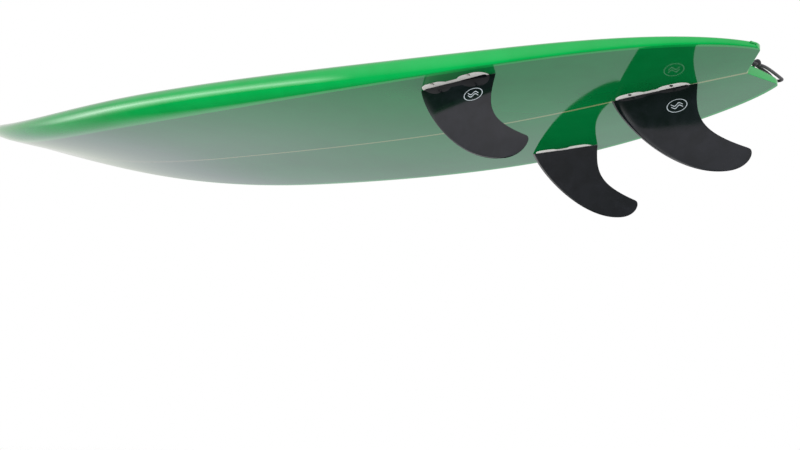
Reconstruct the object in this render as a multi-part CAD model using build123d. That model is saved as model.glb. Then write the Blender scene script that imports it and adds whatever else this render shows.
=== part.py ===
"""Shortboard surfboard with a swallow tail, three removable fins and a leash string.

Frame, in millimetres: +X runs towards the tail, +Y towards the right rail and +Z up, deck uppermost.
The origin is at mid-length on the stringer's plane, level with the lowest fin tips.
The shape itself is worked out in the board's own frame, whose zero height is the bottom's lowest point
on the centre line, and every piece is raised by the same amount at the end.
"""
from build123d import *
import os
from math import cos, pi, radians, sin, sqrt, tan

os.makedirs("parts", exist_ok=True)

# ---- Board shape ------------------------------------------------------------------------------------
LENGTH = 1880.0
HALF_LENGTH = LENGTH / 2
MAX_HALF_WIDTH = 276.0
WIDE_POINT = 0.541  # stations count from 0 at the nose to 1 at the tail tips
NOSE_HALF = 4.0
TAIL_HALF = 66.0
NOSE_ROCKER = 126.0
TAIL_ROCKER = 50.5
THICKNESS = 60.0
NOSE_THICKNESS = 12.0
TAIL_THICKNESS = 10.0
THICK_POINT = 0.48

# Cubic Bezier curves over the stations: half width, height of the bottom, and thickness.
OUTLINE = (
    ((0, NOSE_HALF), (0.034, 56.5), (0.279, MAX_HALF_WIDTH), (WIDE_POINT, MAX_HALF_WIDTH)),
    ((WIDE_POINT, MAX_HALF_WIDTH), (0.734, MAX_HALF_WIDTH), (0.953, 196), (1, TAIL_HALF)),
)
ROCKER = (
    ((0, NOSE_ROCKER), (0.195, 0.32 * NOSE_ROCKER), (0.292, 0), (0.5, 0)),
    ((0.5, 0), (0.836, 0), (0.837, 0.42 * TAIL_ROCKER), (1, TAIL_ROCKER)),
)
FOIL = (
    ((0, NOSE_THICKNESS), (0.1, 42), (0.28, THICKNESS), (THICK_POINT, THICKNESS)),
    ((THICK_POINT, THICKNESS), (0.72, THICKNESS), (0.9, 34), (1, TAIL_THICKNESS)),
)

APEX_MIDDLE, APEX_TAIL = 0.36, 0.42  # height of the rail's widest point, as a share of the thickness
EDGE_MIDDLE, EDGE_TAIL = 38.0, 3.0  # how far the bottom's edge is tucked in under the rail
CONCAVE, TAIL_VEE = 2.5, 1.0  # depth of the bottom's hollow, and of the low vee that it runs out to
DECK_FLAT = 0.66  # how far the deck's crown stays flat, as a share of the half width
NOSE_ROUND = 8.0
NOTCH_DEPTH = 27.5
NOTCH_ROUND = 5.0
LOBE_ROUND = 20.0
STATIONS = 30

# ---- Construction -----------------------------------------------------------------------------------
LAMINATE = 1.2
NOSE_RESIN = 3.0  # the nose is solid resin and glass in front of the foam
LAP = 6.0  # how far the deck's laminate wraps in from the bottom's edge
STRINGER = 4.8

# ---- Fins -------------------------------------------------------------------------------------------
FIN_BASE = 110.5
FIN_DEPTH = 119.0
CENTRE_FIN_BACK = 84.0  # from the line of the tail tips to the fin's trailing base
SIDE_FIN_BACK = 277.0
SIDE_FIN_OUT = 178.0
SIDE_TOE = 2.3
SIDE_CANT = 12.0
FIN_THICK = 6.6
FIN_EDGE = 0.7
FIN_GAP = 0.4  # between the fin's base and the board
FIN_SECTIONS = 16
ROOT = 4.0  # how far the blade is carried inwards before it is trimmed to the board

# Fin outline as cubic Bezier curves: (distance ahead of the trailing base, depth).
LEADING_EDGE = ((FIN_BASE, 0), (95.6, 43.4), (33, FIN_DEPTH), (-26, FIN_DEPTH))
TRAILING_EDGE = ((0, 0), (8.2, 44.3), (2.5, 64), (-50.6, 94.8))
FIN_TIP = ((-50.6, 94.8), (-57.5, 98.7), (-50.5, FIN_DEPTH), (-26, FIN_DEPTH))

TABS = {"front": (83.0, 36.0), "rear": (30.0, 36.0)}  # centre ahead of the trailing base, and length
TAB_THICK = 5.6
TAB_DEPTH = 12.5
TAB_TOP = 1.2
TAB_SIDE_GAP = 0.3
TAB_END_GAP = 0.5

# ---- Fin boxes and their grub screws ----------------------------------------------------------------
BOX_DEPTH = 17.0
BOX_LOBE = 43.0
BOX_WIDTH = 31.0
BOX_WAIST = 20.0
BOX_WAIST_ROUND = 5.0
CAVITY_DEPTH = 14.0
CUT_ABOVE = 8.0  # how far a cutting prism stands out of the board

SCREW_R = 2.5
SCREW_GAP = 0.05
SCREW_TILT = 40.0  # between the screw and the fin's plane, and also the half angle of its cone point
SCREW_MOUTH = 10.5  # from the fin's plane to the screw's axis at the bottom's surface
SCREW_RECESS = 1.5
SCREW_POINT_R = 0.6
SOCKET_ACROSS = 2.5
SOCKET_DEPTH = 3.0

# ---- Leash plug and string --------------------------------------------------------------------------
CUP_BACK = 64.0  # from the line of the tail tips to the cup's centre
CUP_R = 15.0
CUP_BORE_R = 11.5
CUP_DEPTH = 14.0
CUP_FLOOR = 2.0
BAR_R = 1.5
BAR_BELOW = 3.4  # from the deck to the bar's axis
BAR_INTO_WALL = 2.5

CORD_R = 2.0
# The string is one cord: from the knot to the bar, round it, back through the knot, out to the loop
# that hangs past the right lobe, and back into the knot.
CORD_ROUTE = (
    (916.4, 14.2, 66.1),
    (908.4, 7.6, 65.6),
    (899.9, 1.6, 66.2),
    (891.6, -2.8, 67.6),
    (884.8, -4.6, 64.6),
    (881.2, -4.4, 55.2),
    (872.2, -2.8, 53.1),
    (869.4, -0.2, 61.2),
    (874.4, 2.4, 67.8),
    (883.6, 4.6, 69.2),
    (893.0, 6.8, 67.6),
    (901.6, 9.8, 66.2),
    (909.6, 14.4, 65.8),
    (918.0, 20.4, 65.8),
    (925.8, 29.8, 65.4),
    (929.7, 41.0, 65.1),
    (932.7, 52.0, 64.7),
    (935.3, 62.6, 64.3),
    (937.5, 71.6, 63.9),
    (939.0, 78.2, 63.7),
    (940.1, 83.0, 63.5),
    (938.0, 86.1, 63.4),
    (934.2, 86.9, 63.4),
    (931.0, 84.8, 63.4),
    (930.2, 79.6, 63.5),
    (929.4, 72.0, 63.8),
    (928.4, 63.0, 64.2),
    (926.5, 53.4, 64.6),
    (923.9, 43.6, 64.9),
    (920.9, 33.8, 65.4),
    (918.2, 25.2, 66.3),
)
ROUTE_TURN = 0.45  # share of the shorter run that an arc takes
KNOT_CENTRE = (919.4, 19.4, 66.3)
KNOT_SIZE = (14.0, 12.0, 9.6)  # length, width and height at its thick end
KNOT_TURN = 54.0  # from +X to the direction that it tapers in
KNOT_TAPER = 0.62


# ---- Curves -----------------------------------------------------------------------------------------
def bezier(points, t):
    """Point at t on a cubic Bezier curve with four 2-D control points."""
    weights = ((1 - t) ** 3, 3 * t * (1 - t) ** 2, 3 * t**2 * (1 - t), t**3)
    return [sum(weight * point[axis] for weight, point in zip(weights, points)) for axis in (0, 1)]


def read_curve(points, value, known=0):
    """The curve's other coordinate where coordinate `known`, which runs one way, equals value."""
    rising = points[3][known] > points[0][known]
    low, high = 0.0, 1.0
    for _ in range(40):
        middle = (low + high) / 2
        if (bezier(points, middle)[known] < value) == rising:
            low = middle
        else:
            high = middle
    return bezier(points, (low + high) / 2)[1 - known]


def read_pair(pair, station):
    """Value at a station of two curves that meet end to end."""
    front, back = pair
    return read_curve(front if station < front[3][0] else back, station)


def tail_blend(station):
    """0 forward of mid-length, rising smoothly to 1 by the fins."""
    share = min(1, max(0, (station - 0.5) / 0.4))
    return share**2 * (3 - 2 * share)


def edge_tuck(station, half_width):
    """How far in from the rail the bottom's edge is."""
    blend = tail_blend(station)
    return min(EDGE_MIDDLE * (1 - blend) + EDGE_TAIL * blend, 0.45 * half_width)


# ---- The board as a lofted body ---------------------------------------------------------------------
def half_section(station, inset=0.0, scale=1.0):
    """Right half of the cross-section: deck, rail and bottom curves as (y, z) control points."""
    outer_width = read_pair(OUTLINE, station)
    outer_thick = read_pair(FOIL, station)
    blend = tail_blend(station)
    edge = edge_tuck(station, outer_width)
    hollow = (CONCAVE * (1 - blend) - TAIL_VEE * blend) * min(1, outer_width / 200)
    width = outer_width - inset
    thick = outer_thick - 2 * inset
    apex = outer_thick * (APEX_MIDDLE * (1 - blend) + APEX_TAIL * blend) - inset
    lip = width - edge
    deck = ((0, thick), (DECK_FLAT * width, thick), (width, apex + 0.62 * (thick - apex)), (width, apex))
    rail = ((width, apex), (width, 0.42 * apex), (width - 0.42 * edge, -hollow), (lip, -hollow))
    bottom = ((lip, -hollow), (lip - 0.3 * width, -hollow), (0.3 * width, 0), (0, 0))
    base = read_pair(ROCKER, station) + inset
    middle = base + thick / 2

    def place(curve):
        return [(y * scale, middle + (base + z - middle) * scale) for y, z in curve]

    return [place(deck), place(rail), place(bottom)]


def section_wire(x, curves):
    """Closed wire of one cross-section, from its right half's curves."""
    right = [Edge.make_bezier(*[(x, y, z) for y, z in curve]) for curve in curves]
    left = [Edge.make_bezier(*[(x, -y, z) for y, z in curve]) for curve in curves]
    return Wire(right + left)


def lofted_body(inset, nose_gap):
    """Board without its swallow notch, pulled in by inset and cut back at the nose."""
    start = nose_gap - HALF_LENGTH
    run = LENGTH - nose_gap
    cap = [NOSE_ROUND * (1 - cos(radians(angle))) for angle in (9, 25, 45, 66, 90)]
    even = [run * (1 - cos(pi * step / STATIONS)) / 2 for step in range(1, STATIONS + 1)]
    wires = []
    for ahead in cap + [value for value in even if value > 1.5 * NOSE_ROUND]:
        x = start + ahead
        rounding = sqrt(1 - (1 - min(1, ahead / NOSE_ROUND)) ** 2)
        wires.append(section_wire(x, half_section(x / LENGTH + 0.5, inset, rounding)))
    return Solid.make_loft(wires)


def tail_outline():
    """Area that keeps the swallow tail: a V notch between two lobes with rounded corners."""
    wide = MAX_HALF_WIDTH + 60
    (x_before, y_before), (x_end, y_end) = OUTLINE[1][2:]
    flank = (wide - y_end) * (x_end - x_before) * LENGTH / (y_before - y_end)
    right = [(-HALF_LENGTH - 60, wide), (HALF_LENGTH - flank, wide), (HALF_LENGTH, TAIL_HALF)]
    left = [(x, -y) for x, y in reversed(right)]
    notch = (HALF_LENGTH - NOTCH_DEPTH, 0)
    area = Sketch() + make_face(Polyline(*right, notch, *left, close=True))
    lobes = area.vertices().sort_by(Axis.X)[-2:]
    area = fillet(lobes, LOBE_ROUND)
    root = area.vertices().sort_by_distance((*notch, 0))[0]
    return fillet(root, NOTCH_ROUND)


def only_solid(shape):
    """The one solid that a shape must consist of."""
    solids = shape.solids()
    if len(solids) != 1:
        raise ValueError(f"expected one solid, got {len(solids)}")
    return solids[0]


def board_body(outline, inset=0.0, nose_gap=0.0):
    """Whole board, pulled in by inset all round."""
    area = offset(outline, amount=-inset) if inset else outline
    return only_solid(lofted_body(inset, nose_gap) & extrude(area, 300, both=True))


def seam_area(outline):
    """Area of the bottom laminate: inside the bottom's edge by the lap of the deck's laminate."""
    stations = [0.012 + 0.988 * (1 - cos(pi * step / 16)) / 2 for step in range(17)]
    side = []
    for station in stations:
        half_width = read_pair(OUTLINE, station)
        side.append(((station - 0.5) * LENGTH, half_width - edge_tuck(station, half_width) - LAP))
    tip = (side[0][0] - LAP, 0)
    right = Spline(tip, *side[1:], tangents=((0, 1), (0.6, -0.8)))
    left = Spline(tip, *[(x, -y) for x, y in side[1:]], tangents=((0, -1), (0.6, 0.8)))
    end = Line((side[-1][0], side[-1][1]), (side[-1][0], -side[-1][1]))
    return make_face(Wire([right.edge(), end.edge(), left.edge()])) & offset(outline, amount=-LAP)


# ---- Fins and their boxes ---------------------------------------------------------------------------
def bottom_height(x, y):
    """Height of the bottom's surface at a place, in the board's own frame."""
    bottom = half_section(x / LENGTH + 0.5)[2]
    return read_curve(bottom, abs(y))


def fin_plane(back, out, toe, cant):
    """Plane of a fin: origin at its trailing base, x forward along the base, z out of the bottom."""
    side = (out > 0) - (out < 0)
    rear_x = HALF_LENGTH - back
    front_x = rear_x - FIN_BASE * cos(radians(toe))
    front_y = out - side * FIN_BASE * sin(radians(toe))
    rear = Vector(rear_x, out, bottom_height(rear_x, out))
    front = Vector(front_x, front_y, bottom_height(front_x, front_y))
    forward = (front - rear).normalized()
    lean = Vector(0, side * sin(radians(cant)), -cos(radians(cant)))
    outward = (lean - forward * lean.dot(forward)).normalized()
    return Plane(origin=rear, x_dir=forward, z_dir=outward)


def fin_chord(depth):
    """Rear and front ends of the fin at a depth; above the base both edges run straight on."""
    if depth < 0:
        return [
            curve[0][0] + depth * (curve[1][0] - curve[0][0]) / curve[1][1]
            for curve in (TRAILING_EDGE, LEADING_EDGE)
        ]
    rear = TRAILING_EDGE if depth < TRAILING_EDGE[3][1] else FIN_TIP
    return read_curve(rear, depth, known=1), read_curve(LEADING_EDGE, depth, known=1)


def fin_section(depth, flat_side):
    """Foil of the fin at a depth. A side fin is flat inside; a centre fin is foiled on both sides."""
    rear, front = fin_chord(depth)
    chord = front - rear
    thick = FIN_THICK * (1 - 0.7 * max(0, depth / FIN_DEPTH) ** 1.4)
    edge = min(FIN_EDGE, 0.5 * thick)
    if flat_side:
        datum = flat_side * TAB_THICK / 2
        sides = ((-flat_side, thick, edge), (0, thick, 0))
    else:
        datum = 0
        sides = ((1, thick / 2, edge / 2), (-1, thick / 2, edge / 2))
    curves = []
    for way, crest, end in sides:
        curves.append(
            [
                (front, datum, depth),
                (front, datum + way * 1.3 * crest, depth),
                (rear + 0.42 * chord, datum + way * 1.12 * crest, depth),
                (rear, datum + way * end, depth),
            ]
        )
    if flat_side:
        curves[1][1] = (rear + 0.7 * chord, datum, depth)
    upper, lower = [Edge.make_bezier(*points) for points in curves]
    return Wire([upper, Edge.make_line(curves[0][3], curves[1][3]), lower])


def fin(plane, flat_side, clear_body):
    """Fin with its two tabs. clear_body is the board grown by the gap under the fin's base."""
    depths = [-ROOT] + [FIN_DEPTH * sin(pi / 2 * step / FIN_SECTIONS) for step in range(FIN_SECTIONS)]
    depths.append(0.9985 * FIN_DEPTH)
    loft_body = plane * Solid.make_loft([fin_section(depth, flat_side) for depth in depths])
    shape = loft_body - clear_body
    for centre, length in TABS.values():
        area = Pos(centre, 0) * RectangleRounded(length, TAB_THICK, 0.45 * TAB_THICK)
        neck = plane * (Pos(0, 0, -1.5 * TAB_TOP) * extrude(area, 3 * TAB_TOP))
        tab = plane * (Pos(0, 0, -TAB_DEPTH) * extrude(area, TAB_DEPTH - TAB_TOP))
        shape = shape + (loft_body & neck) + tab
    return only_solid(shape)


def box_outline():
    """Two lobes joined by a waist, seen along the fin's depth."""
    shape = Sketch()
    for centre, _ in TABS.values():
        shape += Pos(centre, 0) * SlotOverall(BOX_LOBE, BOX_WIDTH)
    front, rear = [centre for centre, _ in TABS.values()]
    middle = (front + rear) / 2
    shape += Pos(middle, 0) * Rectangle(front - rear, BOX_WAIST)
    corners = shape.vertices().filter_by(lambda corner: abs(abs(corner.Y) - BOX_WAIST / 2) < 0.01)
    return fillet(corners, BOX_WAIST_ROUND)


def screw_axis(plane, centre, side):
    """Plane whose origin is the screw's mouth and whose z points out along the screw's axis."""
    outward = Vector(0, side * sin(radians(SCREW_TILT)), cos(radians(SCREW_TILT)))
    local = Plane(origin=(centre, side * SCREW_MOUTH, 0), x_dir=(1, 0, 0), z_dir=outward)
    return Plane(plane.location * local.location)


def screw_length():
    """Length of the screw's cylinder, up to where its cone lies along the wall of the tab's cavity."""
    tilt = radians(SCREW_TILT)
    wall = TAB_THICK / 2 + TAB_SIDE_GAP
    return (SCREW_MOUTH - SCREW_R * cos(tilt) - wall) / sin(tilt) - SCREW_RECESS


def grub_screw(axis):
    """Set screw with a hexagon socket and a cone point."""
    length = screw_length()
    cone = (SCREW_R - SCREW_POINT_R) / tan(radians(SCREW_TILT))
    shank = Pos(0, 0, -SCREW_RECESS - length / 2) * Cylinder(SCREW_R, length)
    shank = chamfer(shank.edges().sort_by(Axis.Z)[-1], 0.35)
    point = Pos(0, 0, -SCREW_RECESS - length - cone / 2) * Cone(SCREW_POINT_R, SCREW_R, cone)
    socket = extrude(RegularPolygon(SOCKET_ACROSS / 2, 6, major_radius=False), -SOCKET_DEPTH)
    return only_solid(axis * (shank + point - Pos(0, 0, -SCREW_RECESS) * socket))


def screw_bore(axis):
    """Bore of a grub screw, from outside the board into the tab's cavity."""
    reach = (SCREW_MOUTH - TAB_THICK / 4) / sin(radians(SCREW_TILT))
    length = reach + CUT_ABOVE
    return axis * (Pos(0, 0, CUT_ABOVE - length / 2) * Cylinder(SCREW_R + SCREW_GAP, length))


def prism(plane, area, depth):
    """Area carried from a depth inside the board to clear of its surface."""
    return plane * (Pos(0, 0, -depth) * extrude(area, depth + CUT_ABOVE))


def fin_box(plane, outer, screw_axes):
    """Fin box flush with the bottom, with a cavity for each tab and a bore for each grub screw."""
    shape = prism(plane, box_outline(), BOX_DEPTH) & outer
    for centre, length in TABS.values():
        cavity = RectangleRounded(
            length + 2 * TAB_END_GAP, TAB_THICK + 2 * TAB_SIDE_GAP, 0.45 * TAB_THICK
        )
        shape -= prism(plane, Pos(centre, 0) * cavity, CAVITY_DEPTH)
    for axis in screw_axes:
        shape -= screw_bore(axis)
    return only_solid(shape)


# ---- Leash plug and string --------------------------------------------------------------------------
def deck_height(x):
    """Height of the deck's surface on the centre line, in the board's own frame."""
    return half_section(x / LENGTH + 0.5)[0][0][1]


def cord_radii(route):
    """Radius of the arc at each inner point: as large as the two runs beside it allow."""
    radii = []
    for before, here, after in zip(route, route[1:], route[2:]):
        run_in, run_out = Vector(*here) - Vector(*before), Vector(*after) - Vector(*here)
        turn = radians(run_in.get_angle(run_out))
        radii.append(ROUTE_TURN * min(run_in.length, run_out.length) / tan(turn / 2))
    return radii


def cord_tube(route):
    """Round cord along straight runs joined by tangent arcs, checked against its length."""
    radii = cord_radii(route)
    print("cord radii:", [round(radius, 1) for radius in radii])
    path = FilletPolyline(*route, radius=radii)
    section = Plane(origin=path @ 0, z_dir=path % 0) * Circle(CORD_R)
    tube = only_solid(sweep(section, path))
    expected = pi * CORD_R**2 * path.length
    print(f"cord length {path.length:.1f}, volume over section times length {tube.volume / expected:.4f}")
    return tube


def knot():
    """Overhand knot of the string's two ends, as a tapered, rounded wedge."""
    length, width, height = KNOT_SIZE
    ends = [
        Pos(0, 0, (share - 0.5) * length) * RectangleRounded(width * scale, height * scale, 0.45 * height * scale)
        for share, scale in ((0, 1.0), (0.45, 1.0), (1, KNOT_TAPER))
    ]
    wedge = loft(ends)
    direction = Vector(cos(radians(KNOT_TURN)), sin(radians(KNOT_TURN)), 0)
    across = Vector(-direction.Y, direction.X, 0)
    return only_solid(Plane(origin=KNOT_CENTRE, x_dir=across, z_dir=direction) * wedge)


# ---- Assembly ---------------------------------------------------------------------------------------
def make_board():
    """Every node of the board, in the board's own frame."""
    outline = tail_outline()
    outer = board_body(outline)
    inner = board_body(outline, LAMINATE, NOSE_RESIN)
    clear = lofted_body(-FIN_GAP, 0)

    fins = {
        "centre": (fin_plane(CENTRE_FIN_BACK, 0, 0, 0), 0, -1),
        "left": (fin_plane(SIDE_FIN_BACK, -SIDE_FIN_OUT, SIDE_TOE, SIDE_CANT), 1, -1),
        "right": (fin_plane(SIDE_FIN_BACK, SIDE_FIN_OUT, SIDE_TOE, SIDE_CANT), -1, 1),
    }
    nodes = {}
    pockets = []
    for name, (plane, flat_side, screw_side) in fins.items():
        axes = {end: screw_axis(plane, centre, screw_side) for end, (centre, _) in TABS.items()}
        nodes[f"{name}_fin"] = fin(plane, flat_side, clear)
        nodes[f"{name}_fin_box"] = fin_box(plane, outer, axes.values())
        for end, axis in axes.items():
            nodes[f"{name}_{end}_grub_screw"] = grub_screw(axis)
            print(f"{name} {end} screw axis {axis.origin} {axis.z_dir}")
        pockets.append(prism(plane, box_outline(), BOX_DEPTH))
        print(f"{name} fin axis {plane.z_dir}")

    cup_x = HALF_LENGTH - CUP_BACK
    deck = deck_height(cup_x)
    cup_blank = Pos(cup_x, 0, deck - CUP_DEPTH) * extrude(Circle(CUP_R), CUP_DEPTH + CUT_ABOVE)
    recess = Pos(cup_x, 0, deck - CUP_DEPTH + CUP_FLOOR) * extrude(Circle(CUP_BORE_R), CUP_DEPTH + CUT_ABOVE)
    bar_length = 2 * (CUP_BORE_R + BAR_INTO_WALL)
    bar = Pos(cup_x, 0, deck - BAR_BELOW) * Rot(90, 0, 0) * Cylinder(BAR_R, bar_length)
    nodes["leash_plug_cup"] = only_solid((cup_blank & outer) - recess - bar)
    nodes["leash_plug_bar"] = only_solid(bar)
    pockets.append(cup_blank)

    skin = outer - inner
    panels = (skin & extrude(seam_area(outline), 300, both=True)).solids().sort_by(Axis.Z)
    bottom_skin = panels[0]
    deck_skin = skin - bottom_skin
    for pocket in pockets:
        bottom_skin, deck_skin, inner = [layer - pocket for layer in (bottom_skin, deck_skin, inner)]
    strip = Box(LENGTH + 100, STRINGER, 600)
    side_block = Pos(0, 300 + STRINGER / 2, 0) * Box(LENGTH + 100, 600, 600)
    nodes["bottom_laminate"] = only_solid(bottom_skin)
    nodes["deck_laminate"] = only_solid(deck_skin)
    nodes["stringer"] = only_solid(inner & strip)
    nodes["right_foam_core"] = only_solid(inner & side_block)
    nodes["left_foam_core"] = only_solid(inner & (Rot(0, 0, 180) * side_block))

    nodes["leash_string"] = cord_tube(CORD_ROUTE)
    nodes["leash_knot"] = knot()
    return nodes


nodes = make_board()
rise = -min(nodes[name].bounding_box().min.Z for name in ("left_fin", "right_fin", "centre_fin"))
print(f"rise {rise:.3f}")
for name, node in nodes.items():
    raised = Pos(0, 0, rise) * node
    raised.label = name
    export_step(raised, f"parts/{name}.step")
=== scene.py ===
"""Looks of the swallow-tail shortboard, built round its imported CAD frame.

The shape's formulas work in millimetres in the board's own frame, whose zero height is the bottom's
lowest point on the centre line. Every finished piece is in metres in the row frame.
"""

import math

import bmesh
import bpy
import numpy as np
from mathutils import Matrix, Vector


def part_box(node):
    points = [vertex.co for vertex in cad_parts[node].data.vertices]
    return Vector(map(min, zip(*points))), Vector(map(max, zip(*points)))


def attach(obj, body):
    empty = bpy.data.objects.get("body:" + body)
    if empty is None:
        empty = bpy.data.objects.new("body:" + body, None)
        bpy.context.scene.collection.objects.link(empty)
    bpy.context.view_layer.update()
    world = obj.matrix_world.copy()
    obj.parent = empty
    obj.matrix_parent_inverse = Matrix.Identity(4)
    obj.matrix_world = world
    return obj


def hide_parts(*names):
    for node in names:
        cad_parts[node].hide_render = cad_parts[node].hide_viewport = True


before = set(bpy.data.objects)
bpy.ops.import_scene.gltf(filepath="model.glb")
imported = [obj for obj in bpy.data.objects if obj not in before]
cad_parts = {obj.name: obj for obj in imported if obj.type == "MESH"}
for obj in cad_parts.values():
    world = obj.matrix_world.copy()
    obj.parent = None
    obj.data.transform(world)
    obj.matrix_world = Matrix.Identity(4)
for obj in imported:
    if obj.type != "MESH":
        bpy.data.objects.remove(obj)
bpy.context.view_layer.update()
scene = bpy.context.scene

MM = 0.001

# ---- Shape of the board, as in part.py ---------------------------------------------------------
LENGTH = 1880.0
HALF_LENGTH = LENGTH / 2
MAX_HALF_WIDTH = 276.0
WIDE_POINT = 0.541
TAIL_HALF = 66.0
OUTLINE = (
    ((0, 4), (0.034, 56.5), (0.279, MAX_HALF_WIDTH), (WIDE_POINT, MAX_HALF_WIDTH)),
    ((WIDE_POINT, MAX_HALF_WIDTH), (0.734, MAX_HALF_WIDTH), (0.953, 196), (1, TAIL_HALF)),
)
ROCKER = (
    ((0, 126), (0.195, 40.32), (0.292, 0), (0.5, 0)),
    ((0.5, 0), (0.836, 0), (0.837, 21.21), (1, 50.5)),
)
FOIL = (
    ((0, 12), (0.1, 42), (0.28, 60), (0.48, 60)),
    ((0.48, 60), (0.72, 60), (0.9, 34), (1, 10)),
)
APEX_MIDDLE, APEX_TAIL = 0.36, 0.42
EDGE_MIDDLE, EDGE_TAIL = 38.0, 3.0
CONCAVE, TAIL_VEE = 2.5, 1.0
DECK_FLAT = 0.66
NOSE_ROUND = 8.0
NOTCH_DEPTH = 27.5
NOTCH_ROUND = 5.0
LOBE_ROUND = 20.0
LAMINATE = 1.2
LAP = 6.0
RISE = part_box("stringer")[0].z / MM - LAMINATE

FIN_BASE = 110.5
FIN_DEPTH = 119.0
FIN_THICK = 6.6
FIN_EDGE = 0.7
FIN_GAP = 0.4
LEADING_EDGE = ((FIN_BASE, 0), (95.6, 43.4), (33, FIN_DEPTH), (-26, FIN_DEPTH))
TRAILING_EDGE = ((0, 0), (8.2, 44.3), (2.5, 64), (-50.6, 94.8))
FIN_TIP = ((-50.6, 94.8), (-57.5, 98.7), (-50.5, FIN_DEPTH), (-26, FIN_DEPTH))
TABS = (83.0, 30.0)
TAB_LENGTH = 36.0
TAB_THICK = 5.6
TAB_DEPTH = 12.5
BOX_LOBE = 43.0
BOX_WIDTH = 31.0
BOX_WAIST = 20.0
BOX_WAIST_ROUND = 5.0
# back from the tail tips, out from the stringer, toe and cant in degrees, and the flat side
FINS = {
    "centre": (84.0, 0.0, 0.0, 0.0, 0),
    "left": (277.0, -178.0, 2.3, 12.0, 1),
    "right": (277.0, 178.0, 2.3, 12.0, -1),
}

CORD_R = 2.0
CORD_ROUTE = (
    (916.4, 14.2, 66.1),
    (908.4, 7.6, 65.6),
    (899.9, 1.6, 66.2),
    (891.6, -2.8, 67.6),
    (884.8, -4.6, 64.6),
    (881.2, -4.4, 55.2),
    (872.2, -2.8, 53.1),
    (869.4, -0.2, 61.2),
    (874.4, 2.4, 67.8),
    (883.6, 4.6, 69.2),
    (893.0, 6.8, 67.6),
    (901.6, 9.8, 66.2),
    (909.6, 14.4, 65.8),
    (918.0, 20.4, 65.8),
    (925.8, 29.8, 65.4),
    (929.7, 41.0, 65.1),
    (932.7, 52.0, 64.7),
    (935.3, 62.6, 64.3),
    (937.5, 71.6, 63.9),
    (939.0, 78.2, 63.7),
    (940.1, 83.0, 63.5),
    (938.0, 86.1, 63.4),
    (934.2, 86.9, 63.4),
    (931.0, 84.8, 63.4),
    (930.2, 79.6, 63.5),
    (929.4, 72.0, 63.8),
    (928.4, 63.0, 64.2),
    (926.5, 53.4, 64.6),
    (923.9, 43.6, 64.9),
    (920.9, 33.8, 65.4),
    (918.2, 25.2, 66.3),
)
KNOT_CENTRE = (919.4, 19.4, 66.3)
KNOT_SIZE = (14.0, 12.0, 9.6)
KNOT_TURN = 54.0


def to_row(points):
    """Points in the board's frame, in millimetres, to the row frame, in metres."""
    return (np.asarray(points, float) + (0, 0, RISE)) * MM


# ---- Camera ------------------------------------------------------------------------------------
LENS = 33.04
SENSOR_WIDTH = 36.0
CAMERA_PLACE = (1081.47, -932.71, -292.24)  # in the board's frame, in millimetres
CAMERA_FORWARD = (-0.57643961, 0.80579884, 0.13566723)
CAMERA_DOWN = (-0.00948431, 0.15941806, -0.9871656)
CLIP_NEAR, CLIP_FAR = 0.01, 200.0


def make_camera():
    camera = bpy.data.objects.new("camera", bpy.data.cameras.new("camera"))
    scene.collection.objects.link(camera)
    camera.data.lens = LENS
    camera.data.sensor_width = SENSOR_WIDTH
    camera.data.clip_start = CLIP_NEAR
    camera.data.clip_end = CLIP_FAR
    camera.location = to_row(CAMERA_PLACE)
    forward = Vector(CAMERA_FORWARD)
    down = Vector(CAMERA_DOWN)
    right = forward.cross(-down).normalized()
    up = right.cross(forward).normalized()
    camera.rotation_euler = Matrix((right, up, -forward)).transposed().to_euler()
    scene.camera = camera


make_camera()


# ---- Mesh helpers ------------------------------------------------------------------------------
def new_object(name, verts, faces, body, sharp=35.0):
    mesh = bpy.data.meshes.new(name)
    mesh.from_pydata([tuple(v) for v in verts], [], [tuple(f) for f in faces])
    mesh.validate()
    obj = bpy.data.objects.new(name, mesh)
    scene.collection.objects.link(obj)
    smooth(obj, sharp)
    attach(obj, body)
    return obj


def smooth(obj, sharp):
    """Smooth shading, with edges above an angle in degrees left sharp."""
    obj.data.shade_smooth()
    obj.data.set_sharp_from_angle(angle=math.radians(sharp))


def clean(obj, merge=1e-6):
    """Joins doubled points, drops empty faces and turns the faces outwards."""
    work = bmesh.new()
    work.from_mesh(obj.data)
    bmesh.ops.remove_doubles(work, verts=work.verts, dist=merge)
    bmesh.ops.dissolve_degenerate(work, edges=work.edges, dist=merge / 2)
    bmesh.ops.recalc_face_normals(work, faces=work.faces)
    work.to_mesh(obj.data)
    work.free()


def apply_modifiers(obj):
    graph = bpy.context.evaluated_depsgraph_get()
    done = bpy.data.meshes.new_from_object(obj.evaluated_get(graph))
    old = obj.data
    obj.modifiers.clear()
    obj.data = done
    bpy.data.meshes.remove(old)


def grid_faces(rows, columns, start=0, closed=False):
    faces = []
    for i in range(rows - 1):
        for j in range(columns if closed else columns - 1):
            a = start + i * columns + j
            b = start + i * columns + (j + 1) % columns
            faces.append((a, b, b + columns, a + columns))
    return faces


# ---- Board surface -----------------------------------------------------------------------------
def bezier(points, t):
    a, b, c, d = points
    return (1 - t) ** 3 * a + 3 * t * (1 - t) ** 2 * b + 3 * t**2 * (1 - t) * c + t**3 * d


def station_curve(pair):
    """Function that reads a driving curve at stations."""
    t = np.linspace(0, 1, 3001)
    stations = np.concatenate([bezier([p[0] for p in half], t) for half in pair])
    values = np.concatenate([bezier([p[1] for p in half], t) for half in pair])
    return lambda station: np.interp(station, stations, values)


half_width = station_curve(OUTLINE)
rocker = station_curve(ROCKER)
foil = station_curve(FOIL)
DECK, RAIL, BOTTOM = 0, 1, 2
SHAPE_BLEND = (0.5, 0.4)  # station where the tail's shape starts to blend in, and over how much
HOLLOW_FULL = 200.0  # half width from which the bottom has its full hollow or vee
LAP_MOST = 0.15  # share of the bottom's curve that the lap may take at the narrow ends
SEARCH_STEPS = 40


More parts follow.
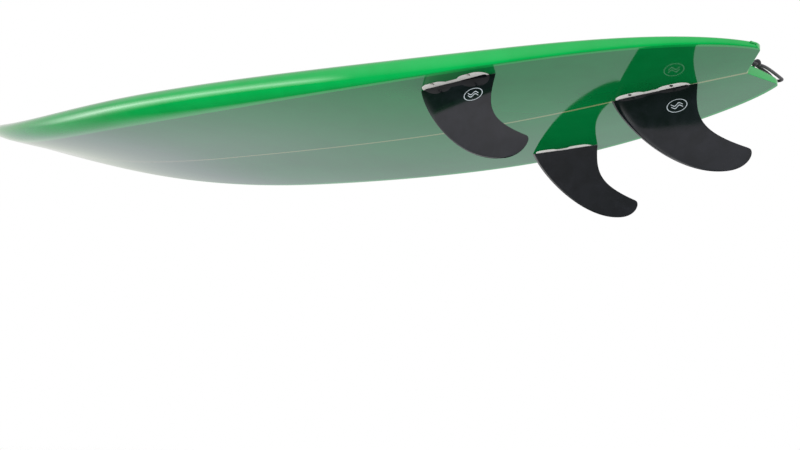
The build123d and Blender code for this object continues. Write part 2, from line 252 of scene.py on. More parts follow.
def section(station, part, t, scale=1.0):
    """(y, z) on the deck, rail or bottom curve of the cross-sections at some stations."""
    width, thick, base = half_width(station), foil(station), rocker(station)
    share = np.clip((station - SHAPE_BLEND[0]) / SHAPE_BLEND[1], 0, 1)
    blend = share**2 * (3 - 2 * share)
    edge = np.minimum(EDGE_MIDDLE * (1 - blend) + EDGE_TAIL * blend, 0.45 * width)
    hollow = (CONCAVE * (1 - blend) - TAIL_VEE * blend) * np.minimum(1, width / HOLLOW_FULL)
    apex = thick * (APEX_MIDDLE * (1 - blend) + APEX_TAIL * blend)
    lip = width - edge
    if part == DECK:
        y = bezier((0 * width, DECK_FLAT * width, width, width), t)
        z = bezier((thick, thick, apex + 0.62 * (thick - apex), apex), t)
    elif part == RAIL:
        y = bezier((width, width, width - 0.42 * edge, lip), t)
        z = bezier((apex, 0.42 * apex, -hollow, -hollow), t)
    else:
        y = bezier((lip, lip - 0.3 * width, 0.3 * width, 0 * width), t)
        z = bezier((-hollow, -hollow, 0 * width, 0 * width), t)
    middle = base + thick / 2
    return y * scale, middle + (base + z - middle) * scale


def lap_share(station):
    """How far along the bottom curve the deck's laminate reaches."""
    return np.minimum(LAP / (0.9 * half_width(station)), LAP_MOST)


def lower_column(kind, share, station, scale=1.0):
    """Point on a column of the lower surface: the rail, the lap or the bottom inside the lap."""
    if kind == "rail":
        return section(station, RAIL, share, scale)
    lap = lap_share(station)
    t = lap * share if kind == "lap" else lap + (1 - lap) * share
    return section(station, BOTTOM, t, scale)


def bottom_height(x, y):
    """Height of the bottom at places inside the bottom's edge."""
    station = np.asarray(x, float) / LENGTH + 0.5
    low, high = np.zeros_like(station), np.ones_like(station)
    for _ in range(SEARCH_STEPS):
        middle = (low + high) / 2
        beyond = section(station, BOTTOM, middle)[0] > np.abs(y)
        low, high = np.where(beyond, middle, low), np.where(beyond, high, middle)
    return section(station, BOTTOM, (low + high) / 2)[1]


# ---- Swallow tail ------------------------------------------------------------------------------
NOTCH = np.array((HALF_LENGTH - NOTCH_DEPTH, 0.0))
CORNER = np.array((HALF_LENGTH, TAIL_HALF))
ALONG_NOTCH = (CORNER - NOTCH) / np.linalg.norm(CORNER - NOTCH)
FLANK = np.array(((OUTLINE[1][2][0] - 1) * LENGTH, OUTLINE[1][2][1] - TAIL_HALF))
ALONG_FLANK = -FLANK / np.linalg.norm(FLANK)
OUT_NOTCH = np.array((ALONG_NOTCH[1], -ALONG_NOTCH[0]))
OUT_FLANK = np.array((-ALONG_FLANK[1], ALONG_FLANK[0]))


def lobe_centre():
    """Centre of the lobe's rounding, as far inside the notch's side as inside the flank."""
    system = np.array((OUT_NOTCH, OUT_FLANK))
    wanted = [OUT_NOTCH @ CORNER - LOBE_ROUND, OUT_FLANK @ CORNER - LOBE_ROUND]
    return np.linalg.solve(system, wanted)


LOBE_CENTRE = lobe_centre()
ROOT_CENTRE = NOTCH + (NOTCH_ROUND / ALONG_NOTCH[1], 0)
ROOT_REACH = NOTCH_ROUND * ALONG_NOTCH[0] / ALONG_NOTCH[1]


def tail_distance(x, y):
    """How far a place of the right half is inside the tail's outline, and the way out of it."""
    place = np.array((x, y))
    if (place - NOTCH) @ ALONG_NOTCH < ROOT_REACH:
        away = ROOT_CENTRE - place
        return np.linalg.norm(away) - NOTCH_ROUND, away / np.linalg.norm(away)
    away = place - LOBE_CENTRE
    if away @ ALONG_NOTCH > 0 and away @ ALONG_FLANK > 0:
        reach = np.linalg.norm(away)
        return LOBE_ROUND - reach, away / reach
    notch_side = OUT_NOTCH @ (CORNER - place)
    flank_side = OUT_FLANK @ (CORNER - place)
    if notch_side < flank_side:
        return notch_side, OUT_NOTCH
    return flank_side, OUT_FLANK


def column_end(column, inside):
    """Station where a column reaches a distance inside the tail's outline."""
    low, high = TAIL_START, 1.0
    for _ in range(SEARCH_STEPS):
        middle = (low + high) / 2
        y, _ = column(np.float64(middle))
        if tail_distance((middle - 0.5) * LENGTH, y)[0] > inside:
            low = middle
        else:
            high = middle
    return (low + high) / 2


TAIL_START = 0.93
DECK_STEPS, RAIL_STEPS, BOTTOM_STEPS = 40, 18, 30
DECK_COLUMNS = [math.sin(math.pi / 2 * k / DECK_STEPS) for k in range(DECK_STEPS + 1)]
LOWER_COLUMNS = (
    [("rail", k / RAIL_STEPS) for k in range(RAIL_STEPS + 1)]
    + [("lap", 0.5)]
    + [("bottom", k / BOTTOM_STEPS) for k in range(BOTTOM_STEPS + 1)]
)
SEAM = RAIL_STEPS + 2  # the lower column where the bottom's laminate starts
TOP_ROUND, LOW_ROUND = 3.0, 0.6
TOP_ROUND_MOST, LOW_ROUND_MOST = 0.4, 0.2  # as shares of the tail wall's height
ROUND_STEPS = 6
NOSE_TURN = 9  # degrees of the nose's rounding from row to row
FIRST_ROW, ROW_GROWTH, LAST_ROW = 1.5, 1.12, 11.0  # row spacing behind the nose
LAST_GAP = 3.0
TAIL_ROWS = 26


def row_stations():
    """Stations ahead of the tail, with the scale of each section at the rounded nose."""
    cap = [NOSE_ROUND * (1 - math.cos(math.radians(a))) for a in range(0, 91, NOSE_TURN)]
    rows = [(c / LENGTH, math.sqrt(max(0, 1 - (1 - c / NOSE_ROUND) ** 2))) for c in cap]
    x, step = NOSE_ROUND, FIRST_ROW
    end = TAIL_START * LENGTH
    while x + step < end - LAST_GAP:
        x += step
        rows.append((x / LENGTH, 1.0))
        step = min(step * ROW_GROWTH, LAST_ROW)
    rows.append((TAIL_START, 1.0))
    return np.array(rows)


def surface_grid(columns, ends):
    """Rows of points of some columns, from the nose to where each column ends at the tail."""
    ahead = row_stations()
    tail_rows = np.array([math.sin(math.pi / 2 * k / TAIL_ROWS) for k in range(1, TAIL_ROWS + 1)])
    grid = []
    for column, end in zip(columns, ends):
        run = TAIL_START + (end - TAIL_START) * tail_rows
        stations = np.concatenate([ahead[:, 0], run])
        scales = np.concatenate([ahead[:, 1], np.ones(len(run))])
        y, z = column(stations, scales)
        grid.append(np.stack([(stations - 0.5) * LENGTH, y, z], axis=1))
    return np.stack(grid, axis=1)


def rounded_end(row, radii, downwards):
    """Rows that turn a surface's last row over the tail's edge into its vertical wall."""
    rows = []
    for step in range(1, ROUND_STEPS + 1):
        angle = math.pi / 2 * step / ROUND_STEPS
        turned = row.copy()
        for k, (x, y, _) in enumerate(row):
            out = tail_distance(x, y)[1]
            turned[k, :2] += out * radii[k] * math.sin(angle)
            turned[k, 2] += (-1 if downwards else 1) * radii[k] * (1 - math.cos(angle))
        rows.append(turned)
    return rows


def zip_rows(upper, lower, upper_ids, lower_ids):
    """Triangles between two rows that both run outwards along the tail's outline."""
    faces, i, j = [], 0, 0
    while i < len(upper) - 1 or j < len(lower) - 1:
        if j == len(lower) - 1 or (i < len(upper) - 1 and upper[i + 1, 1] <= lower[j + 1, 1]):
            faces.append((upper_ids[i], upper_ids[i + 1], lower_ids[j]))
            i += 1
        else:
            faces.append((upper_ids[i], lower_ids[j + 1], lower_ids[j]))
            j += 1
    return faces


def board_mesh():
    """Points and faces of the right half, and which faces are the bottom's laminate."""
    deck = [lambda s, scale=1.0, t=t: section(s, DECK, t, scale) for t in DECK_COLUMNS]
    lower = [
        lambda s, scale=1.0, kind=kind, share=share: lower_column(kind, share, s, scale)
        for kind, share in LOWER_COLUMNS
    ]
    reach = {}
    for side, columns in (("deck", deck), ("lower", lower)):
        ends = [column_end(column, 0.0) for column in columns]
        reach[side] = np.array([column(np.float64(end)) for column, end in zip(columns, ends)])
    order = np.argsort(reach["lower"][:, 0])
    low_y, low_z = reach["lower"][order].T
    top_y, top_z = reach["deck"].T

    def wall_height(y):
        return np.maximum(0, np.interp(y, top_y, top_z) - np.interp(y, low_y, low_z))

    top_radii = np.minimum(TOP_ROUND, TOP_ROUND_MOST * wall_height(reach["deck"][:, 0]))
    low_radii = np.minimum(LOW_ROUND, LOW_ROUND_MOST * wall_height(reach["lower"][:, 0]))
    deck_ends = [column_end(c, r) for c, r in zip(deck, top_radii)]
    lower_ends = [column_end(c, r) for c, r in zip(lower, low_radii)]
    top = surface_grid(deck, deck_ends)
    low = surface_grid(lower, lower_ends)
    top_rows = len(top)
    top = np.concatenate([top, rounded_end(top[-1], top_radii, True)])
    low = np.concatenate([low, rounded_end(low[-1], low_radii, False)])
    verts = np.concatenate([top.reshape(-1, 3), low.reshape(-1, 3)])
    start = top.shape[0] * top.shape[1]
    faces = grid_faces(*top.shape[:2])
    is_bottom = [False] * len(faces)
    low_faces = grid_faces(*low.shape[:2], start=start)
    across = low.shape[1] - 1
    for index in range(len(low_faces)):
        row, column = divmod(index, across)
        is_bottom.append(column >= SEAM and row < top_rows - 1)
    faces += low_faces
    top_ids = np.arange(start - top.shape[1], start)
    low_ids = np.arange(len(verts) - low.shape[1], len(verts))
    wall = zip_rows(top[-1], low[-1][::-1], top_ids, low_ids[::-1])
    faces += wall
    is_bottom += [False] * len(wall)
    return verts, faces, is_bottom


def both_halves(verts, faces, flags):
    mirrored = verts * (1, -1, 1)
    count = len(verts)
    faces = faces + [tuple(reversed([v + count for v in face])) for face in faces]
    return np.concatenate([verts, mirrored]), faces, flags + flags


def cut(obj, cutters):
    """Cuts closed cutters out of a closed piece."""
    for cutter in cutters:
        boolean = obj.modifiers.new("cut", "BOOLEAN")
        boolean.operation = "DIFFERENCE"
        boolean.solver = "EXACT"
        boolean.object = cutter
    apply_modifiers(obj)
    for cutter in cutters:
        bpy.data.objects.remove(cutter)


def prism(name, loop, low, high, place):
    """Closed prism over a loop of (x, y), carried through place() to the row frame."""
    count = len(loop)
    verts = [place(x, y, z) for z in (low, high) for x, y in loop]
    faces = [tuple(range(count)), tuple(range(2 * count - 1, count - 1, -1))]
    faces += [(i, i + count, (i + 1) % count + count, (i + 1) % count) for i in range(count)]
    mesh = bpy.data.meshes.new(name)
    mesh.from_pydata([tuple(v) for v in verts], [], faces)
    obj = bpy.data.objects.new(name, mesh)
    scene.collection.objects.link(obj)
    clean(obj)
    return obj


# ---- Fin frames --------------------------------------------------------------------------------
def fin_frame(back, out, toe, cant):
    """Origin at the trailing base, then the forward, sideways and outward directions."""
    side = (out > 0) - (out < 0)
    rear_x = HALF_LENGTH - back
    front_x = rear_x - FIN_BASE * math.cos(math.radians(toe))
    front_y = out - side * FIN_BASE * math.sin(math.radians(toe))
    rear = np.array((rear_x, out, float(bottom_height(rear_x, out))))
    front = np.array((front_x, front_y, float(bottom_height(front_x, front_y))))
    forward = (front - rear) / np.linalg.norm(front - rear)
    lean = np.array((0, side * math.sin(math.radians(cant)), -math.cos(math.radians(cant))))
    outward = lean - forward * (lean @ forward)
    outward /= np.linalg.norm(outward)
    return rear, forward, np.cross(outward, forward), outward


def in_frame(axes, x, y, z):
    """Board-frame points of fin-frame coordinates."""
    origin, forward, side, outward = axes
    return (
        origin
        + np.multiply.outer(x, forward)
        + np.multiply.outer(y, side)
        + np.multiply.outer(z, outward)
    )


FRAMES = {name: fin_frame(*values[:4]) for name, values in FINS.items()}


def arc(centre, radius, start, end, steps):
    angles = np.radians(np.linspace(start, end, steps))
    return [(centre[0] + radius * math.cos(a), centre[1] + radius * math.sin(a)) for a in angles]


def box_loop():
    """Outline of a fin box: two lobes joined by a waist with rounded corners."""
    half, waist, corner = BOX_WIDTH / 2, BOX_WAIST / 2, BOX_WAIST_ROUND
    reach = (BOX_LOBE - BOX_WIDTH) / 2
    rise = waist + corner
    across = math.sqrt((half + corner) ** 2 - rise**2)
    turn = math.degrees(math.atan2(rise, across))
    quarter = []
    lobe = (TABS[0] + TABS[1]) / 2
    inner = TABS[0] - lobe - reach
    outer = TABS[0] - lobe + reach
    quarter += arc((outer, 0), half, 0, 90, 18)
    quarter += arc((inner, 0), half, 90, 180 - turn, 12)
    quarter += arc((inner - across, rise), corner, -turn, -90, 8)
    right = quarter
    left = [(-x, y) for x, y in reversed(quarter)]
    top = right + left
    loop = top + [(x, -y) for x, y in reversed(top)][1:-1]
    return [(x + lobe, y) for x, y in loop]


SKIN_GAP = 0.1  # between the shown skins' inner faces and the foam
SKIN_MERGE = 2e-6
SKIN_SHARP = 32
BOX_CUT = (-12, 8)  # the box cutter's reach above and below the bottom, along the fin's depth
CUP_CUT_ABOVE = 0.02
CUP_CUT_SIDES = 96


def make_skins():
    verts, faces, is_bottom = both_halves(*board_mesh())
    whole = bpy.data.meshes.new("board_whole")
    whole.from_pydata([tuple(v) for v in to_row(verts)], [], faces)
    flag = whole.attributes.new("bottom_laminate", "INT", "FACE")
    flag.data.foreach_set("value", [int(v) for v in is_bottom])
    source = bmesh.new()
    source.from_mesh(whole)
    bmesh.ops.remove_doubles(source, verts=source.verts, dist=SKIN_MERGE)
    bmesh.ops.dissolve_degenerate(source, edges=source.edges, dist=SKIN_MERGE / 2)
    bmesh.ops.recalc_face_normals(source, faces=source.faces)
    skins = {}
    for name, wanted in (("deck_skin", 0), ("bottom_skin", 1)):
        work = source.copy()
        layer = work.faces.layers.int["bottom_laminate"]
        other = [face for face in work.faces if face[layer] != wanted]
        bmesh.ops.delete(work, geom=other, context="FACES")
        mesh = bpy.data.meshes.new(name)
        work.to_mesh(mesh)
        work.free()
        obj = bpy.data.objects.new(name, mesh)
        scene.collection.objects.link(obj)
        shell = obj.modifiers.new("shell", "SOLIDIFY")
        shell.thickness = (LAMINATE - SKIN_GAP) * MM
        shell.offset = -1.0
        apply_modifiers(obj)
        skins[name] = obj
    source.free()
    bpy.data.meshes.remove(whole)

    def placed(axes):
        return lambda x, y, z: to_row(in_frame(axes, x, y, z))

    loop = box_loop()
    box_cuts = [prism("cutter", loop, *BOX_CUT, placed(axes)) for axes in FRAMES.values()]
    cut(skins["bottom_skin"], box_cuts)
    low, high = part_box("leash_plug_cup")
    middle = (low + high) / 2
    radius = (high.y - low.y) / 2
    ring = [
        (middle.x + radius * math.cos(a), middle.y + radius * math.sin(a))
        for a in np.linspace(0, 2 * math.pi, CUP_CUT_SIDES + 1)[:-1]
    ]
    top = high.z + CUP_CUT_ABOVE
    cup_cut = prism("cutter", ring, low.z, top, lambda x, y, z: (x, y, z))
    cut(skins["deck_skin"], [cup_cut])
    for name, obj in skins.items():
        smooth(obj, SKIN_SHARP)
        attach(obj, "board")
    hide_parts("deck_laminate")
    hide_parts("bottom_laminate")
    return skins


# ---- Leash string ------------------------------------------------------------------------------
ROUTE_RESOLUTION = 16
CORD_STEP = 0.35 * MM
CORD_SHARP = 60
CORD_MERGE = 1e-7
KNOT_SWELL = 1.12  # the knot's cord against the string's
KNOT_POINTS = 260
KNOT_START = 0.5  # where the knot's hidden ends meet, as an angle
KNOT_TAPER = (0.86, 0.2)  # breadth in its middle, and how much less towards the loop


def string_line():
    """Points along the string, read from the NURBS spline of its route."""
    curve = bpy.data.curves.new("string_route", "CURVE")
    curve.dimensions = "3D"
    curve.resolution_u = ROUTE_RESOLUTION
    spline = curve.splines.new("NURBS")
    route = to_row(CORD_ROUTE)
    spline.points.add(len(route) - 1)
    for point, place in zip(spline.points, route):
        point.co = (*place, 1.0)
    spline.order_u = 3
    spline.use_endpoint_u = True
    holder = bpy.data.objects.new("string_route", curve)
    scene.collection.objects.link(holder)
    bpy.context.view_layer.update()
    graph = bpy.context.evaluated_depsgraph_get()
    mesh = bpy.data.meshes.new_from_object(holder.evaluated_get(graph))
    line = np.array([v.co for v in mesh.vertices])
    bpy.data.objects.remove(holder)
    bpy.data.curves.remove(curve)
    bpy.data.meshes.remove(mesh)
    return line


def even_line(line, step):
    """The same line with points a step apart."""
    runs = np.linalg.norm(np.diff(line, axis=0), axis=1)
    along = np.concatenate([[0], np.cumsum(runs)])
    wanted = np.linspace(0, along[-1], int(round(along[-1] / step)) + 1)
    return np.stack([np.interp(wanted, along, line[:, axis]) for axis in range(3)], axis=1), wanted


def carried_frames(line):
    """Two directions across a line at each point, carried along it without twist."""
    tangents = np.gradient(line, axis=0)
    tangents /= np.linalg.norm(tangents, axis=1)[:, None]
    first = np.cross(tangents[0], (0.3, 0.2, 1.0))
    across = [first / np.linalg.norm(first)]
    for before, here in zip(tangents, tangents[1:]):
        turned = Vector(before).rotation_difference(Vector(here)) @ Vector(across[-1])
        turned = np.array(turned) - here * (np.array(turned) @ here)
        across.append(turned / np.linalg.norm(turned))
    across = np.array(across)
    return across, np.cross(tangents, across)


BRAID_PITCH = 7.5 * MM
BRAID_STRANDS = 5
BRAID_DEPTH = 0.12


def braid_profile(angle, along):
    """Radius of a braided cord as a share of its full radius."""
    turn = 2 * math.pi * along / BRAID_PITCH
    one = np.abs(np.cos(0.5 * BRAID_STRANDS * angle + 0.5 * BRAID_STRANDS * turn))
    two = np.abs(np.cos(0.5 * BRAID_STRANDS * angle - 0.5 * BRAID_STRANDS * turn))
    weave = np.sin(BRAID_STRANDS * angle) * np.sin(BRAID_STRANDS * turn)
    crest = np.where(weave > 0, one, two) ** 0.6
    return 1 - BRAID_DEPTH * (1 - crest)


def braided_tube(line, along, radius, around=30, closed=False):
    """Points and faces of a braided cord along a line."""
    across, other = carried_frames(line)
    angles = np.linspace(0, 2 * math.pi, around + 1)[:-1]
    grid_angle, grid_along = np.meshgrid(angles, along)
    size = np.broadcast_to(np.asarray(radius, float), along.shape)[:, None]
    size = size * braid_profile(grid_angle, grid_along)
    if not closed:
        from_end = np.minimum(along, along[-1] - along)[:, None] / (0.5 * np.max(radius))
        size = size * np.sqrt(np.clip(1 - (1 - np.clip(from_end, 0, 1)) ** 2, 0.05, 1))
    verts = (
        line[:, None, :]
        + (size * np.cos(grid_angle))[..., None] * across[:, None, :]
        + (size * np.sin(grid_angle))[..., None] * other[:, None, :]
    ).reshape(-1, 3)
    rows = len(line)
    faces = grid_faces(rows, around, closed=True)
    faces.append(tuple(range(around)))
    faces.append(tuple(range(rows * around - 1, (rows - 1) * around - 1, -1)))
    return verts, faces


def knot_line():
    """Centre line of a tight overhand knot, tapered towards the loop, in the board's frame."""
    t = np.linspace(0, 2 * math.pi, KNOT_POINTS) + KNOT_START
    across = (np.sin(t) + 2 * np.sin(2 * t)) / 3
    ahead = (np.cos(t) - 2 * np.cos(2 * t)) / 3
    up = -np.sin(3 * t)
    length, width, height = KNOT_SIZE
    turn = math.radians(KNOT_TURN)
    forward = np.array((math.cos(turn), math.sin(turn), 0))
    side = np.array((-math.sin(turn), math.cos(turn), 0))
    taper = KNOT_TAPER[0] - KNOT_TAPER[1] * ahead
    spare = 2 * CORD_R
    points = (
        np.array(KNOT_CENTRE)
        + np.multiply.outer(ahead * (length - spare) / 2, forward)
        + np.multiply.outer(across * taper * (width - spare) / 2, side)
        + np.multiply.outer(up * taper * (height - spare) / 2.4, (0, 0, 1))
    )
    return to_row(points)


def make_string():
    line = string_line()
    line, along = even_line(line, CORD_STEP)
    verts, faces = braided_tube(line, along, CORD_R * MM)
    string = new_object("leash_string_braid", verts, faces, "board", CORD_SHARP)
    clean(string, CORD_MERGE)
    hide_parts("leash_string")
    tight, along = even_line(knot_line(), CORD_STEP)
    verts, faces = braided_tube(tight, along, KNOT_SWELL * CORD_R * MM, closed=True)
    knot = new_object("leash_string_knot", verts, faces, "board", CORD_SHARP)
    clean(knot, CORD_MERGE)
    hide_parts("leash_knot")
    return string, knot


string, knot = make_string()
skins = make_skins()


# ---- Fins --------------------------------------------------------------------------------------
def curve_table(curve, known):
    t = np.linspace(0, 1, 2001)
    x, z = bezier([p[0] for p in curve], t), bezier([p[1] for p in curve], t)
    return (x, z) if known == 0 else (z, x)


def fin_chord(depth):
    """Rear and front ends of the fin at some depths."""
    front = np.interp(depth, *curve_table(LEADING_EDGE, 1))
    body = np.interp(depth, *curve_table(TRAILING_EDGE, 1))
    tip = np.interp(depth, *curve_table(FIN_TIP, 1))
    rear = np.where(depth < TRAILING_EDGE[3][1], body, tip)
    above = depth < 0
    rear = np.where(above, depth * TRAILING_EDGE[1][0] / TRAILING_EDGE[1][1], rear)
    lean = (LEADING_EDGE[1][0] - LEADING_EDGE[0][0]) / LEADING_EDGE[1][1]
    return rear, np.where(above, FIN_BASE + depth * lean, front)


FOIL_STEPS = 30
FIN_ROWS = 60
BASE_ROW = 0.8  # depth whose foil the fin's base takes
FIRST_FREE_ROW = 3.0
TIP_SHORT = 0.9999  # the last row stops just short of the tip's lowest point
LEAD_ROUND = 0.8
LEAD_REACH = (4.0, 0.3)  # how far back the flat side's leading edge is rounded, at most
THIN_TO, THIN_POWER = 0.7, 1.4  # how much thinner the fin is at its tip
TAB_EDGE = 0.6
TAB_INTO_BLADE = 1.0
FIN_SHARP = 38
FIN_MERGE = 2e-6


def fin_loop(depth, flat_side):
    """(x, y) round the fin's foil at each depth: crowned side, trailing edge, other side."""
    rear, front = fin_chord(depth)
    chord = front - rear
    thick = FIN_THICK * (1 - THIN_TO * np.clip(depth / FIN_DEPTH, 0, 1) ** THIN_POWER)
    edge = np.minimum(FIN_EDGE, 0.5 * thick)
    t = (np.linspace(0, 1, FOIL_STEPS + 1) ** 1.35)[None, :]
    rear, front, chord, thick, edge = [v[:, None] for v in (rear, front, chord, thick, edge)]

    def side(way, crest, end, datum, lead):
        x = bezier((front, front, rear + 0.42 * chord, rear), t)
        heights = (way * 1.3 * crest, way * 1.12 * crest, way * end)
        y = bezier((lead, *(datum + height for height in heights)), t)
        return x, y

    if flat_side:
        datum = flat_side * TAB_THICK / 2 + 0 * front
        lead = datum - flat_side * np.minimum(LEAD_ROUND, 0.4 * thick)
        one = side(-flat_side, thick, edge, datum, lead)
        reach = np.minimum(LEAD_REACH[0], LEAD_REACH[1] * chord + 0.01)
        near = np.clip((front - one[0]) / reach, 0, 1)
        flat = lead + (datum - lead) * np.sqrt(np.clip(1 - (1 - near) ** 2, 0, 1))
        other = (one[0], flat)
    else:
        zero = 0 * front
        one = side(1, thick / 2, edge / 2, zero, zero)
        other = side(-1, thick / 2, edge / 2, zero, zero)
    x = np.concatenate([one[0], other[0][:, :0:-1]], axis=1)
    y = np.concatenate([one[1], other[1][:, :0:-1]], axis=1)
    return x, y


def base_depth(axes, x, y):
    """Depth at which points of the fin's base are the gap below the board."""
    depth = np.zeros_like(x)
    for _ in range(6):
        place = in_frame(axes, x, y, depth)
        short = place[..., 2] - (bottom_height(place[..., 0], place[..., 1]) - FIN_GAP)
        depth = depth + short / -axes[3][2]
    return depth


def rounded_rectangle(length, width, radius, steps=6):
    loop = []
    for sx, sy, start in ((1, 1, 0), (-1, 1, 90), (-1, -1, 180), (1, -1, 270)):
        centre = (sx * (length / 2 - radius), sy * (width / 2 - radius))
        loop += arc(centre, radius, start, start + 90, steps)
    return loop


def make_fin(name):
    axes = FRAMES[name]
    flat_side = FINS[name][4]
    depths = FIN_DEPTH * np.sin(math.pi / 2 * np.arange(1, FIN_ROWS + 1) / FIN_ROWS)
    depths[-1] = FIN_DEPTH * TIP_SHORT
    depths = depths[depths > FIRST_FREE_ROW]
    x, y = fin_loop(depths, flat_side)
    base_x, base_y = fin_loop(np.array([BASE_ROW]), flat_side)
    z = np.repeat(depths[:, None], x.shape[1], axis=1)
    top = base_depth(axes, base_x, base_y)
    x, y, z = [np.concatenate(pair) for pair in ((base_x, x), (base_y, y), (top, z))]
    rows, around = x.shape
    places = [to_row(in_frame(axes, x.ravel(), y.ravel(), z.ravel()))]
    coordinates = [np.stack([x.ravel(), z.ravel()], axis=1)]
    faces = grid_faces(rows, around, closed=True)
    faces.append(tuple(range(around)))
    faces.append(tuple(range(rows * around - 1, (rows - 1) * around - 1, -1)))
    # the crowned side of a side fin, and both sides of the centre fin, carry the mark
    marked = [
        (j < FOIL_STEPS or not flat_side) for _ in range(rows - 1) for j in range(around)
    ] + [False, False]
    loop = rounded_rectangle(TAB_LENGTH, TAB_THICK, 0.45 * TAB_THICK)
    inset = TAB_THICK - 2 * TAB_EDGE
    small = rounded_rectangle(TAB_LENGTH - 2 * TAB_EDGE, inset, 0.4 * inset)
    for centre in TABS:
        start = sum(len(p) for p in places)
        count = len(loop)
        rings = [(small, -TAB_DEPTH), (loop, -TAB_DEPTH + TAB_EDGE), (loop, TAB_INTO_BLADE)]
        tab = np.array([(centre + px, py, depth) for ring, depth in rings for px, py in ring])
        places.append(to_row(in_frame(axes, tab[:, 0], tab[:, 1], tab[:, 2])))
        coordinates.append(tab[:, [0, 2]])
        tab_faces = grid_faces(3, count, start=start, closed=True)
        tab_faces.append(tuple(range(start, start + count)))
        tab_faces.append(tuple(range(start + 3 * count - 1, start + 2 * count - 1, -1)))
        faces += tab_faces
        marked += [False] * len(tab_faces)
    verts = np.concatenate(places)
    coordinates = np.concatenate(coordinates)
    body = f"{name}_fin_body"
    obj = new_object(f"{name}_fin_blade", verts, faces, body, FIN_SHARP)
    mesh = obj.data
    uv = mesh.uv_layers.new(name="fin")
    vertex_of = np.zeros(len(mesh.loops), int)
    mesh.loops.foreach_get("vertex_index", vertex_of)
    uv.data.foreach_set("uv", (coordinates[vertex_of] / 100).ravel())
    mesh.polygons.foreach_set("material_index", [0 if m else 1 for m in marked])
    clean(obj, FIN_MERGE)
    smooth(obj, FIN_SHARP)
    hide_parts(f"{name}_fin")
    return obj


fins = {name: make_fin(name) for name in FINS}


# ---- Materials ---------------------------------------------------------------------------------
class Nodes:
    """Short calls for building one material's nodes."""

    def __init__(self, name, **settings):
        self.material = bpy.data.materials.new(name)
        self.material.use_nodes = True
        self.tree = self.material.node_tree
        self.shader = self.tree.nodes["Principled BSDF"]
        for key, value in settings.items():
            self.shader.inputs[key].default_value = value

    def link(self, value, socket):
        if isinstance(value, bpy.types.NodeSocket):
            self.tree.links.new(value, socket)
        else:
            socket.default_value = value

    def node(self, kind, inputs=(), **properties):
        made = self.tree.nodes.new(kind)
        for key, value in properties.items():
            setattr(made, key, value)
        for key, value in dict(inputs).items():
            self.link(value, made.inputs[key])
        return made

    def math(self, operation, *values, clamp=False):
        made = self.node("ShaderNodeMath", enumerate(values), operation=operation, use_clamp=clamp)
        return made.outputs[0]

    def place(self, scale=(1, 1, 1)):
        """Object coordinates, in metres, stretched."""
        source = self.node("ShaderNodeTexCoord").outputs["Object"]
        mapping = self.node("ShaderNodeMapping", {"Vector": source, "Scale": scale})
        return mapping.outputs[0]

    def noise(self, scale, detail=3.0, rough=0.5, stretch=(1, 1, 1), distortion=0.0):
        inputs = {
            "Vector": self.place(stretch),
            "Scale": scale,
            "Detail": detail,
            "Roughness": rough,
            "Distortion": distortion,
        }
        return self.node("ShaderNodeTexNoise", inputs).outputs[0]

    def ramp(self, value, low, high, to_low=0.0, to_high=1.0):
        inputs = {"Value": value, "From Min": low, "From Max": high}
        inputs.update({"To Min": to_low, "To Max": to_high})
        return self.node("ShaderNodeMapRange", inputs).outputs[0]

    def mix(self, factor, one, two):
        made = self.node("ShaderNodeMix", data_type="RGBA")
        self.link(factor, made.inputs["Factor"])
        self.link(one, made.inputs["A"])
        self.link(two, made.inputs["B"])
        return made.outputs["Result"]

    def bump(self, height, distance, strength=1.0, below=None):
        inputs = {"Height": height, "Distance": distance, "Strength": strength}
        if below is not None:
            inputs["Normal"] = below
        return self.node("ShaderNodeBump", inputs).outputs[0]

    def finish(self, **links):
        for key, value in links.items():
            self.link(value, self.shader.inputs[key.replace("_", " ")])
        return self.material


def rgb(red, green, blue):
    """Linear colour of an 8-bit display colour."""
    values = []
    for value in (red, green, blue):
        value /= 255
        values.append(value / 12.92 if value <= 0.04045 else ((value + 0.055) / 1.055) ** 2.4)
    return (*values, 1.0)


STRIP_EDGE = (0.0018, 0.0026)  # from the middle to where the stringer's line fades, in metres
# the fins' mark, in tenths of a metre forward of the trailing base and down from it
MARK_CENTRE = (0.27, 0.245, 0.0)
MARK_TURN = math.radians(4)
MARK_SIZE = (0.122, 0.082)


def green_laminate(name, dark, light):
    """Glossy tinted laminate, with the stringer showing as a line down the middle."""
    n = Nodes(name, **{"IOR": 1.5})
    cloudy = n.noise(5.0, 2.0)
    fine = n.noise(38.0, 3.0)
    tone = n.math("ADD", n.math("MULTIPLY", cloudy, 0.7), n.math("MULTIPLY", fine, 0.3))
    tint = n.mix(n.ramp(tone, 0.35, 0.65), dark, light)
    axes = n.node("ShaderNodeSeparateXYZ", {"Vector": n.place()}).outputs
    off_centre = n.math("ABSOLUTE", axes[1])
    strip = n.ramp(off_centre, *STRIP_EDGE, 1.0, 0.0)
    grain = n.noise(60.0, 4.0, 0.6, (0.12, 6.0, 1.0))
    wood = n.mix(grain, rgb(114, 134, 90), rgb(134, 150, 106))
    slow_wave = n.bump(n.noise(7.0, 1.0), 0.00035, 0.5)
    return n.finish(
        Base_Color=n.mix(strip, tint, wood),
        Roughness=n.ramp(n.noise(14.0, 4.0, 0.6), 0.3, 0.7, 0.03, 0.07),
        Normal=n.bump(n.noise(420.0, 2.0), 0.00001, 0.35, slow_wave),
    )


